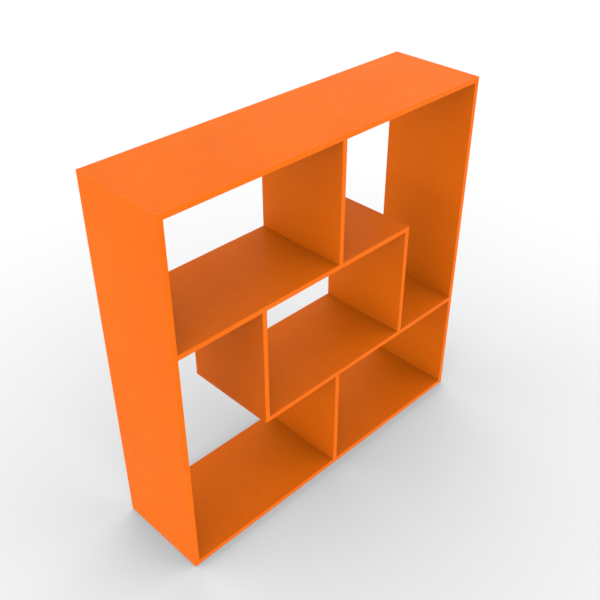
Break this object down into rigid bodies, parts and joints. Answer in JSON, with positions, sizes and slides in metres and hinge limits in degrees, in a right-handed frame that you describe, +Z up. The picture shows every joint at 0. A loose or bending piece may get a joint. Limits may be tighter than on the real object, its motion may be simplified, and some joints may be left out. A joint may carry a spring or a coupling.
{
  "type": "cube storage unit",
  "caption": "Open shelving unit in orange faced board with staggered shelves and dividers, open at front and back, knock-down joints and wall brackets.",
  "frame": {"origin": "on the floor, under the middle of the unit's width and depth", "axes": "+X to the unit's right seen from the front, the front faces -Y and the back and its wall brackets +Y, +Z up"},
  "size_m": [1.2, 0.32, 1.202],
  "materials": {
    "board": "chipboard faced with orange melamine, fine satin; raw chipboard at the cut ends",
    "edge_strip": "orange plastic edge strip, satin, in the boards' colour",
    "cam_lock": "die-cast zinc, dull",
    "cam_bolt": "bright zinc plate",
    "dowel": "plain fluted beech",
    "cam_cover": "moulded orange plastic, satin",
    "wall_bracket": "zinc-plated pressed steel",
    "screw": "bright zinc plate",
    "glide": "off-white nylon",
    "nail": "plain steel"
  },
  "bodies": {
    "root": {"bottom_panel": "board", "bracket_screws": "screw", "cam_bolts_bottom_panel": "cam_bolt", "cam_bolts_lower_divider": "cam_bolt", "cam_bolts_lower_shelf": "cam_bolt", "cam_bolts_middle_left_divider": "cam_bolt", "cam_bolts_middle_right_divider": "cam_bolt", "cam_bolts_top_panel": "cam_bolt", "cam_bolts_upper_divider": "cam_bolt", "cam_bolts_upper_shelf": "cam_bolt", "cam_covers_lower_divider": "cam_cover", "cam_covers_lower_shelf": "cam_cover", "cam_covers_middle_left_divider": "cam_cover", "cam_covers_middle_right_divider": "cam_cover", "cam_covers_top_panel": "cam_cover", "cam_covers_upper_divider": "cam_cover", "cam_covers_upper_shelf": "cam_cover", "cam_locks_bottom_panel": "cam_lock", "cam_locks_lower_divider": "cam_lock", "cam_locks_lower_shelf": "cam_lock", "cam_locks_middle_left_divider": "cam_lock", "cam_locks_middle_right_divider": "cam_lock", "cam_locks_top_panel": "cam_lock", "cam_locks_upper_divider": "cam_lock", "cam_locks_upper_shelf": "cam_lock", "dowels_bottom_panel": "dowel", "dowels_lower_divider": "dowel", "dowels_lower_shelf": "dowel", "dowels_middle_left_divider": "dowel", "dowels_middle_right_divider": "dowel", "dowels_top_panel": "dowel", "dowels_upper_divider": "dowel", "dowels_upper_shelf": "dowel", "edge_strips_bottom_panel": "edge_strip", "edge_strips_left_side": "edge_strip", "edge_strips_lower_divider": "edge_strip", "edge_strips_lower_shelf": "edge_strip", "edge_strips_middle_left_divider": "edge_strip", "edge_strips_middle_right_divider": "edge_strip", "edge_strips_right_side": "edge_strip", "edge_strips_top_panel": "edge_strip", "edge_strips_upper_divider": "edge_strip", "edge_strips_upper_shelf": "edge_strip", "floor_glides": "glide", "glide_nails": "nail", "left_side": "board", "lower_divider": "board", "lower_shelf": "board", "middle_left_divider": "board", "middle_right_divider": "board", "right_side": "board", "top_panel": "board", "upper_divider": "board", "upper_shelf": "board", "wall_bracket_left": "wall_bracket", "wall_bracket_right": "wall_bracket"}
  },
  "joints": []
}
